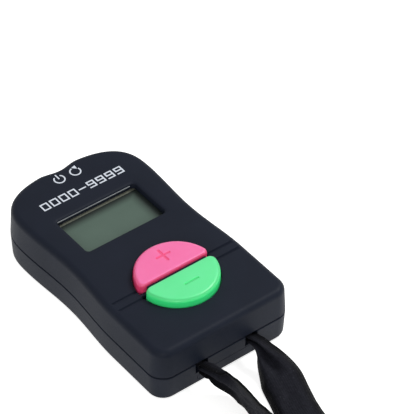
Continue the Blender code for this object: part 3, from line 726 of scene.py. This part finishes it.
def makeFrontCover(case, form):
    low = case['parting'] + case['gap'] / 2
    rim = case['height'] - form['fillet']
    edge = form['partingBevel']
    levels = [(low, edge), (low + edge, 0), (rim, form['draft'])]
    levels += [(rim + rise, form['draft'] + form['fillet'] - reach)
               for reach, rise in arc(form['fillet'], 0, pi / 2, form['filletSteps'])[1:]]
    cover = newObject('front_cover', caseSolid(levels))
    room = form['draft'] + case['wall']
    carve(cover, caseSolid([(low - 1, case['wall']), (case['ceiling'] - 1, room),
                            (case['ceiling'] - 0.3, room + 0.3), (case['ceiling'], room + 1)]))
    for x, y in case['screws']:
        weld(cover, rodShape(x, y, *form['boss'], case['ceiling'] + 0.5))
        carve(cover, rodShape(x, y, *form['bossBore'], case['ceiling'] - 1.5, 24))
    for x, y in case['boardScrews']:
        weld(cover, rodShape(x, y, *form['boardBoss'], case['ceiling'] + 0.5, 24))
        carve(cover, rodShape(x, y, *form['boardBore'], case['ceiling'] - 0.8, 16))
    wide, long, y = form['windowHalfWidth'], form['windowLength'], form['windowCentre']
    depth, flare, radius = form['flareDepth'], form['flare'], form['windowRadius']
    quarter = [(flare * (1 - x), depth * (y - 1)) for x, y in
               arc(1, 0, pi / 2, form['flareSteps'])]
    quarter += [(flare * 1.02, 0.02), (flare * 1.02, 1)]
    carve(cover, pullUp([roundedRing(wide - 0.15, long - 0.3, y, radius, case['ceiling'] - 1)]
                        + [roundedRing(wide + grow, long + 2 * grow, y, radius + grow,
                                       case['height'] + rise) for grow, rise in quarter]))
    for middle in form['bands']:
        carve(cover, grooveShape(middle, form['bandHalfWidth'], form['grooveWidth'],
                                 form['grooveDepth'], case['height'], form['grooveFloor']))
    carve(cover, rodShape(0, form['keyCentre'], form['keyHole'], case['ceiling'] - 1,
                          case['height'] + 1, 128), resetHole(case))
    # the bar, and its black ridge that stands in for shade in the keys' split
    for long, wide, top in (form['bar'], form['barRidge']):
        weld(cover, boxShape((-long, long), (form['keyCentre'] - wide, form['keyCentre'] + wide),
                             (case['ceiling'] + 0.2, top)))
    finishPiece(cover, blackAbs, 'case', ['front_shell'], edge=0.1)


makeFrontCover(caseForm, coverForm)
print('front cover made')


# Back cover: lip, screw posts, battery bay and the ribbon's two slots

backForm = {
    'draft': 0.25,
    'fillet': 1.1,
    'filletSteps': 6,
    'floor': 1.6,
    'lipHeight': 0.8,
    'postRadius': 3.1,
    'postTop': 5.4,
    'counterbore': 1.85,
    'bore': 1.3,
    'seat': 3.6,
    'centrePost': 2.7,
    'centrePostTop': 5.9,
    'centreCounterbore': 1.5,
    'centreBore': 1.0,
    'centreSeat': 5.0,
    'bay': 7.7,            # half width, with the gap beside the door
    'bayWall': 1.2,
    'bayStart': 5.9,
    'bayEnd': 19.2,
    'ribFrom': 6.1,
    'cellCentre': 12.0,
    'recess': 1.6,         # depth that the door lies in
    'recessLip': 3.5,
    'tabReach': 8.3,
    'tabEnd': 4.2,
    'tabLow': 1.75,
    'tabTop': 2.85,
    'tonguePocket': (5.8, 7.7),
}


# Heights of the outside of the back cover, with how far each lies inside the outline
def backLevels(case, form):
    high, edge = case['parting'] - case['gap'] / 2, coverForm['partingBevel']
    levels = [(form['fillet'] - rise, form['draft'] + form['fillet'] - reach) for reach, rise in
              reversed(arc(form['fillet'], 0, pi / 2, form['filletSteps']))]
    return levels + [(high - edge, 0), (high, edge)]


def makeBackCover(case, form):
    high = case['parting'] - case['gap'] / 2
    cover = newObject('back_cover', caseSolid(backLevels(case, form)))
    lip, inner, floor = case['lipOuter'], case['lipInner'], form['floor']
    weld(cover, caseSolid([(high - 1, lip), (high + form['lipHeight'], lip)]))
    carve(cover, caseSolid([(floor, inner + 0.8), (floor + 0.8, inner),
                            (high + form['lipHeight'] + 1, inner)]))
    bay, start, end = form['bay'], form['bayStart'], form['bayEnd']
    outer = bay + form['bayWall']
    weld(cover, boxShape((-outer, outer), (start - form['bayWall'], end + form['bayWall']),
                         (floor - 0.5, case['parting'])))
    carve(cover, boxShape((-bay, bay), (start, end), (floor - 1, case['parting'] + 1)))
    weld(cover, boxShape((-bay - 0.5, -form['ribFrom']),
                         (form['cellCentre'] - 1, form['cellCentre'] + 1),
                         (form['recess'], case['parting'])))
    for x, y in case['screws']:
        weld(cover, rodShape(x, y, form['postRadius'], floor - 0.5, form['postTop'], 40))
        carve(cover, rodShape(x, y, coverForm['boss'][0] + case['gap'], form['postTop'],
                              case['parting'] + 2, 40),
              rodShape(x, y, form['counterbore'], -1, form['seat'], 48),
              rodShape(x, y, form['bore'], form['seat'] - 1, form['seat'] + 4, 24))
    x, y = case['centreScrew']
    weld(cover, rodShape(x, y, form['centrePost'], floor - 0.5, form['centrePostTop'], 40))
    carve(cover, rodShape(x, y, form['centreCounterbore'], -1, form['centreSeat'], 48),
          rodShape(x, y, form['centreBore'], form['centreSeat'] - 1, form['centreSeat'] + 3,
                   24),
          boxShape((-bay, bay), (-1, end), (-1, form['recess'])),
          boxShape((-bay, bay), (-1, case['wall'] + inner), (-1, form['recessLip'])),
          boxShape((-form['tabReach'], form['tabReach']), (-1, form['tabEnd']),
                   (form['tabLow'], form['tabTop'])))
    for side in (-1, 1):
        near, far = sorted(side * x for x in form['tonguePocket'])
        carve(cover, boxShape((near, far), (end - 0.5, end + form['bayWall'] + 0.5),
                              (floor, form['tabTop'])), slotShape(case, side))
    carve(cover, resetHole(case))
    finishPiece(cover, blackAbs, 'case', ['back_shell'], edge=0.1)


makeBackCover(caseForm, backForm)
print('back cover made')


# Battery door: flush in the back, with grip ribs and an arrow pressed into it

doorForm = {
    'halfWidth': 7.55,
    'length': 19.0,
    'thickness': 1.3,
    'lip': 3.38,
    'hookLow': 1.8,
    'hookThickness': 1.0,
    'tabReach': 8.2,
    'tabStart': 0.1,
    'tabLength': 2.2,
    'tongue': (6.1, 7.4),
    'tongueEnd': 21.2,
    'ribs': (6.9, 8.1, 9.3, 10.5, 11.7),
    'ribHalfLength': 4.6,
    'ribWidth': 0.55,
    'pressed': 0.28,
    'arrow': ((-3.0, 14.2), (3.0, 14.2), (0.0, 17.9)),
}


def makeDoor(case, form):
    wide, end, thick = form['halfWidth'], form['length'], form['thickness']
    door = newObject('door_with_arrow', boxShape((-wide, wide), (-1, end), (-1, thick)))
    low = form['hookLow']
    high = low + form['hookThickness']
    reach = form['tabReach']
    weld(door, boxShape((-wide, wide), (-1, 1.5), (thick - 0.5, form['lip'])),
         boxShape((-reach, reach), (form['tabStart'], form['tabLength']), (low, high)))
    for side in (-1, 1):
        near, far = sorted(side * x for x in form['tongue'])
        weld(door, boxShape((near, far), (end - 1, end - 0.1), (thick - 0.5, high - 0.2)),
             boxShape((near, far), (end - 0.8, form['tongueEnd']), (low, high)))
    combine(door, caseSolid(backLevels(case, backForm)), 'INTERSECT')  # flush with the case
    deep, half = form['pressed'], form['ribHalfLength']
    for y in form['ribs']:
        groove = grooveShape(y, half, form['ribWidth'], deep, 0)
        bmesh.ops.scale(groove, verts=groove.verts, vec=(1, 1, -1))
        carve(door, groove)
    corners = [Vector(corner) for corner in form['arrow']]
    middle = sum(corners, Vector((0, 0))) / 3
    carve(door, pullUp([[(*(middle + (corner - middle) * share), z) for corner in corners]
                        for z, share in ((-1, 1), (0, 1), (deep, 0.9))]))
    finishPiece(door, blackAbs, 'battery_door', ['battery_door'], edge=0.08)


makeDoor(caseForm, doorForm)
print('battery door made')


# Count keys: two half discs with a plus and a minus pressed into them

keyForm = {
    'radius': 9.96,
    'centre': 18.6,
    'gap': 0.5,           # from the middle of the split to the straight edge
    'corner': 1.4,
    'fillet': 1.1,
    'filletSteps': 8,
    'straightShare': 0.42,   # the fillet is narrower along the split
    'top': 16.96,
    'seat': 12.76,
    'flange': 0.95,
    'flangeThickness': 0.9,
    'skin': 1.6,
    'stemRadius': 1.7,
    'stemOffset': 4.5,
    'stemEnd': 12.2,
    'markWidth': 0.74,
    'markDepth': 0.24,
    'markSlope': 0.17,
}


# Outline of half a disc at a height, its two corners rounded, drawn in by an inset
def halfDisc(form, z, grow=0.0, inset=0.0):
    radius = form['radius'] + grow - inset
    gap = form['gap'] + inset * form['straightShare']
    corner = form['corner'] - inset * 0.5
    reach = sqrt((radius - corner) ** 2 - (gap + corner) ** 2)
    turn = atan2(gap + corner, reach)
    bend = [(reach + x, gap + corner + y) for x, y in arc(corner, -pi / 2, turn, 6)]
    sweep = arc(radius, turn, pi - turn, 72)[1:-1]
    return [(x, y, z) for x, y in bend + sweep + [(-x, y) for x, y in reversed(bend)]]


# A stroke pressed into the top, with round ends and sloping sides
def strokeShape(form, x, y, length, turn):
    wide, slope, top = form['markWidth'], form['markSlope'], form['top']
    bm = pullUp([roundedRing(length / 2 - slope, wide - 2 * slope, 0, wide * 0.48 - slope,
                             top - form['markDepth'])]
                + [roundedRing(length / 2, wide, 0, wide * 0.48, z) for z in (top, top + 1)])
    bmesh.ops.rotate(bm, verts=bm.verts, matrix=Matrix.Rotation(radians(turn), 3, 'Z'))
    return shift(bm, x, y, 0)


def makeKey(form, name, side, node, body, material, marks):
    fillet, seat, skin = form['fillet'], form['seat'], form['skin']
    cap = pullUp([halfDisc(form, seat)]
                 + [halfDisc(form, form['top'] - fillet + rise, inset=fillet - reach)
                    for reach, rise in arc(fillet, 0, pi / 2, form['filletSteps'])])
    flange = pullUp([halfDisc(form, z, form['flange']) for z in
                     (seat - form['flangeThickness'], seat)])
    hollow = pullUp([halfDisc(form, z, inset=skin * 0.8) for z in
                     (seat - 2, form['top'] - skin)])
    stem = rodShape(0, form['stemOffset'], form['stemRadius'], form['stemEnd'],
                    form['top'] - form['skin'] + 0.5)
    key = newObject(name, cap)
    weld(key, flange)
    carve(key, hollow)
    weld(key, stem)
    turn = Matrix.Rotation(0 if side > 0 else pi, 4, 'Z')
    key.data.transform(Matrix.Translation((0, form['centre'], 0)) @ turn)
    for mark in marks:
        carve(key, strokeShape(form, *mark))
    finishPiece(key, material, body, [node], edge=0.06)


makeKey(keyForm, 'key_plus', 1, 'plus_button', 'plus_key', pinkAbs,
        ((0.37, 24.27, 4.2, 0), (0.4, 24.25, 4.3, 90)))
makeKey(keyForm, 'key_minus', -1, 'minus_button', 'minus_key', greenAbs,
        ((0.5, 13.73, 4.2, 0),))


# Reset key: a domed round button in the notch

resetForm = {
    'stem': (1.05, 56.6),
    'flange': 4.8,
    'flangeFrom': 62.6,
    'flangeTo': 63.6,
    'radius': 4.0,
    'fillet': 1.2,
    'tip': 68.1,
    'crown': 0.25,
}


def makeResetKey(case, form):
    radius, fillet = form['radius'], form['fillet']
    rim = form['tip'] - form['crown'] - fillet
    profile = [(0, form['stem'][1]), form['stem'], (form['stem'][0], form['flangeFrom']),
               (form['flange'], form['flangeFrom']), (form['flange'], form['flangeTo']),
               (radius, form['flangeTo'])]
    profile += [(radius - fillet + x, rim + y) for x, y in arc(fillet, 0, pi / 2, 8)]
    flat = radius - fillet
    profile += [(flat * (1 - i / 6), form['tip'] - form['crown'] * (1 - i / 6) ** 2)
                for i in range(1, 7)]
    key = newObject('key_reset', layAlongY(spunShape(profile, 0, 0, 72), 0, case['parting']))
    finishPiece(key, blueAbs, 'reset_key', ['reset_button'], edge=0.08)


makeResetKey(caseForm, resetForm)
print('keys made')


# Display: two glass plates with the film on top, which ends short of the reset side

displayForm = {
    'halfWidth': 12.6,
    'start': 36.3,
    'end': 50.9,
    'low': 11.16,
    'middle': 11.98,
    'top': 12.66,
    'filmTop': 12.86,
    'filmEnd': 49.6,
    'rim': 0.2,            # cut edge of the clear window along its far side, pale as a painted highlight
    'rimHalf': 11.2,
    'rimLow': 14.05,
    'rimTop': 14.27,
}


def makeDisplay(cover, form):
    wide = form['halfWidth']
    glass = newObject('display_glass', boxShape((-wide, wide), (form['start'], form['end']),
                                                (form['low'], form['middle'])))
    weld(glass, boxShape((-wide, wide), (form['start'], form['end']),
                         (form['middle'] - 0.05, form['top'])))
    finishPiece(glass, glassOlive, 'case', ['lcd_panel'], edge=0.06)
    film = newObject('display_film', boxShape((-wide + 0.3, wide - 0.3),
                                              (form['start'] + 0.3, form['filmEnd']),
                                              (form['top'], form['filmTop'])))
    finishPiece(film, filmGreen, 'case', edge=0.05)
    wall = cover['windowCentre'] + cover['windowLength'] / 2 - 0.03
    # painted highlight: a pale strip along the window's far wall, for the lit cut edge of the
    # clear window
    rim = newObject('display_window_rim', boxShape((-form['rimHalf'], form['rimHalf'] - 1.2),
                                                   (wall - form['rim'], wall),
                                                   (form['rimLow'], form['rimTop'])))
    finishPiece(rim, cutEdgeAndHighlight, 'case', edge=0.04)


makeDisplay(coverForm, displayForm)
print('display made')


# Printing on the face: a row of plain digits, and the signs for power and reset

printForm = {
    'height': 2.4,
    'width': 2.05,
    'pitch': 2.65,
    'stroke': 0.36,
    'ink': 0.03,
    'start': (-11.3, 54.5),
    'text': '0000-9999',
    'signs': ((-2.1, 61.6), (2.5, 61.6)),
    'signRadius': 1.3,
    'signStroke': 0.34,
    'powerArc': (125, 290),      # where a ring starts and how far it goes, in degrees
    'resetArc': (100, 285),
    'arrowAt': 60,
}

# Lit cells of a 3 by 5 grid, row by row from the bottom
glyphs = {'0': '111101101101111', '9': '111001111101111', '-': '000000111000000'}


def inkPad(bm, depth):
    made = bmesh.ops.extrude_face_region(bm, geom=bm.faces[:])['geom']
    bmesh.ops.translate(bm, verts=[v for v in made if isinstance(v, bmesh.types.BMVert)],
                        vec=(0, 0, depth))
    return bm


def glyphShape(form, letter, x, y, z):
    bm = bmesh.new()
    bmesh.ops.create_grid(bm, x_segments=3, y_segments=5, size=1.0)
    stroke, wide = form['stroke'], form['width']
    rise = (form['height'] - 3 * stroke) / 2
    columns = [0, stroke, wide - stroke, wide]
    rows = [0, stroke, stroke + rise, 2 * stroke + rise, 2 * stroke + 2 * rise, form['height']]
    unlit = []
    for face in bm.faces:
        middle = face.calc_center_median()
        cell = round((middle.y + 1) * 2.5 - 0.5) * 3 + round((middle.x + 1) * 1.5 - 0.5)
        if glyphs[letter][cell] == '0':
            unlit.append(face)
    for v in bm.verts:
        v.co = (x + columns[round((v.co.x + 1) * 1.5)], y + rows[round((v.co.y + 1) * 2.5)], z)
    bmesh.ops.delete(bm, geom=unlit, context='FACES')
    return inkPad(bm, form['ink'])


# Part of a ring, spun from one short edge
def ringShape(x, y, z, radius, stroke, turn, steps=40):
    start, sweep = radians(turn[0]), radians(turn[1])
    bm = bmesh.new()
    ends = [bm.verts.new((r * cos(start), r * sin(start), 0))
            for r in (radius - stroke / 2, radius + stroke / 2)]
    edge = bm.edges.new(ends)
    bmesh.ops.spin(bm, geom=ends + [edge], cent=(0, 0, 0), axis=(0, 0, 1), angle=sweep,
                   steps=steps)
    return shift(bm, x, y, z)


def printPiece(name, bm):
    finishPiece(newObject(name, bm), inkWhite, 'case')


def printFace(case, form):
    z, ink = case['height'], form['ink']
    x, y = form['start']
    for i, letter in enumerate(form['text']):
        printPiece(f'print_digit_{i + 1}',
                   glyphShape(form, letter, x + i * form['pitch'], y, z))
    radius, stroke = form['signRadius'], form['signStroke']
    (px, py), (rx, ry) = form['signs']
    printPiece('print_power_ring',
               inkPad(ringShape(px, py, z, radius, stroke, form['powerArc']), ink))
    printPiece('print_power_bar', boxShape((px - stroke / 2, px + stroke / 2),
                                           (py + 0.1, py + radius + 0.55), (z, z + ink)))
    printPiece('print_reset_ring',
               inkPad(ringShape(rx, ry, z, radius, stroke, form['resetArc']), ink))
    turn = radians(form['arrowAt'])
    tip = Vector((rx + radius * cos(turn), ry + radius * sin(turn)))
    printPiece('print_reset_arrow', pullUp([
        [(tip.x - 0.75, tip.y + 0.45, h), (tip.x + 0.25, tip.y - 0.55, h),
         (tip.x + 0.45, tip.y + 0.75, h)] for h in (z, z + ink)]))


printFace(caseForm, printForm)
print('face printed')


# Screws seen in the back: black, pan heads with a cross recess

screwForm = {
    'headHeight': 1.0,
    'headFillet': 0.35,
    'cross': 0.24,        # half width of a slot of the cross, as a share of the head
    'reach': 0.62,
    'depth': 0.5,
    'caseScrew': (1.5, 1.0),      # radius of the head and of the shank
    'centreScrew': (1.2, 0.7),
}


def makeScrew(form, name, x, y, seat, headRadius, shankRadius, tip):
    head = seat - 0.3
    face, fillet = head - form['headHeight'], form['headFillet']
    profile = [(0, face)]
    profile += [(headRadius - fillet + px, face + fillet + py)
                for px, py in arc(fillet, -pi / 2, 0, 5)]
    profile += [(headRadius, head), (shankRadius, head), (shankRadius, tip - shankRadius),
                (shankRadius * 0.35, tip - 0.1), (0, tip)]
    screw = newObject(f'{name}_cross_head', spunShape(profile, x, y, 40))
    half, reach = headRadius * form['cross'], headRadius * form['reach']
    carve(screw, boxShape((x - half, x + half), (y - reach, y + reach),
                          (face - 1, face + form['depth'])),
          boxShape((x - reach, x + reach), (y - half, y + half),
                   (face - 1, face + form['depth'])))
    finishPiece(screw, blackSteel, 'case', [name], edge=0.05)


def makeScrews(case, back, form):
    names = ('lanyard_left', 'lanyard_right', 'reset_left', 'reset_right')
    for name, (x, y) in zip(names, case['screws']):
        makeScrew(form, f'case_screw_{name}', x, y, back['seat'], *form['caseScrew'],
                  case['ceiling'] - 2.5)
    x, y = case['centreScrew']
    makeScrew(form, 'centre_screw', x, y, back['centreSeat'], *form['centreScrew'],
              nodeBox('centre_screw')[1].z)


makeScrews(caseForm, backForm, screwForm)
print('screws made')


# Parts inside the case keep their CAD shapes and get their finishes

innerFinish = (
    (boardGreen, 'circuit_board'),
    (epoxyBlack, 'plus_switch minus_switch reset_switch chip_blob'),
    (holderWhite, 'plus_switch_plunger minus_switch_plunger reset_switch_plunger '
                  'display_holder'),
    (stripRubber, 'zebra_strip'),
    (nickelSteel, 'battery_cell battery_contact_negative battery_contact_positive '
                  'board_screw_left board_screw_right'),
)
for finish, nodes in innerFinish:
    for node in nodes.split():
        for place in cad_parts[node].material_slots:
            place.material = finish
print('inner parts finished')


# Stage: pale floor, soft light

stageForm = {
    'floorSize': 6000,
    'floorColour': '#f4f4f2',
    'worldStrength': 0.52,
    'glow': 0.7,
    # name, place in metres, size, power
    'lamps': (('key_light', (0.6, -0.1, 0.8), 0.4, 5.2),
              ('fill_light', (-0.55, -0.7, 0.42), 0.5, 2.5)),
}


# Seamless studio paper: white to the camera and in reflections, and still shaded
def studioPaper(form):
    made, tree, shader = newMaterial('studio_paper', {
        'Roughness': 0.9, 'Specular IOR Level': 0.0, 'Base Color': srgb(form['floorColour'])})
    light = addNode(tree, 'LightPath', {}).outputs
    seen = addNode(tree, 'Math', {'operation': 'MAXIMUM', 0: light['Is Camera Ray'],
                                  1: light['Is Glossy Ray']})
    through = addNode(tree, 'Math', {'operation': 'MAXIMUM', 0: seen,
                                     1: light['Is Transmission Ray']})
    glow = addNode(tree, 'Emission', {'Strength': form['glow']})
    both = addNode(tree, 'AddShader', {0: shader, 1: glow})
    mix = addNode(tree, 'MixShader', {0: through, 1: shader, 2: both})
    setNode(tree, tree.nodes['Material Output'], {'Surface': mix})
    return made


def makeStage(form):
    bm = bmesh.new()
    bmesh.ops.create_grid(bm, x_segments=1, y_segments=1, size=form['floorSize'] * mm / 2)
    floor = newObject('floor', bm)
    floor.data.materials.append(studioPaper(form))
    world = bpy.data.worlds.new('studio')
    world.use_nodes = True
    setNode(world.node_tree, world.node_tree.nodes['Background'],
            {'Strength': form['worldStrength'], 'Color': (1, 1, 1, 1)})
    bpy.context.scene.world = world
    for name, place, size, power in form['lamps']:
        lamp = bpy.data.objects.new(name, bpy.data.lights.new(name, 'AREA'))
        lamp.data.shape = 'DISK'
        lamp.data.size = size
        lamp.data.energy = power
        lamp.location = place
        lamp.rotation_euler = (-Vector(place)).to_track_quat('-Z', 'Y').to_euler()
        bpy.context.scene.collection.objects.link(lamp)


makeStage(stageForm)
bpy.context.scene.view_settings.view_transform = 'Standard'
print('stage lit')
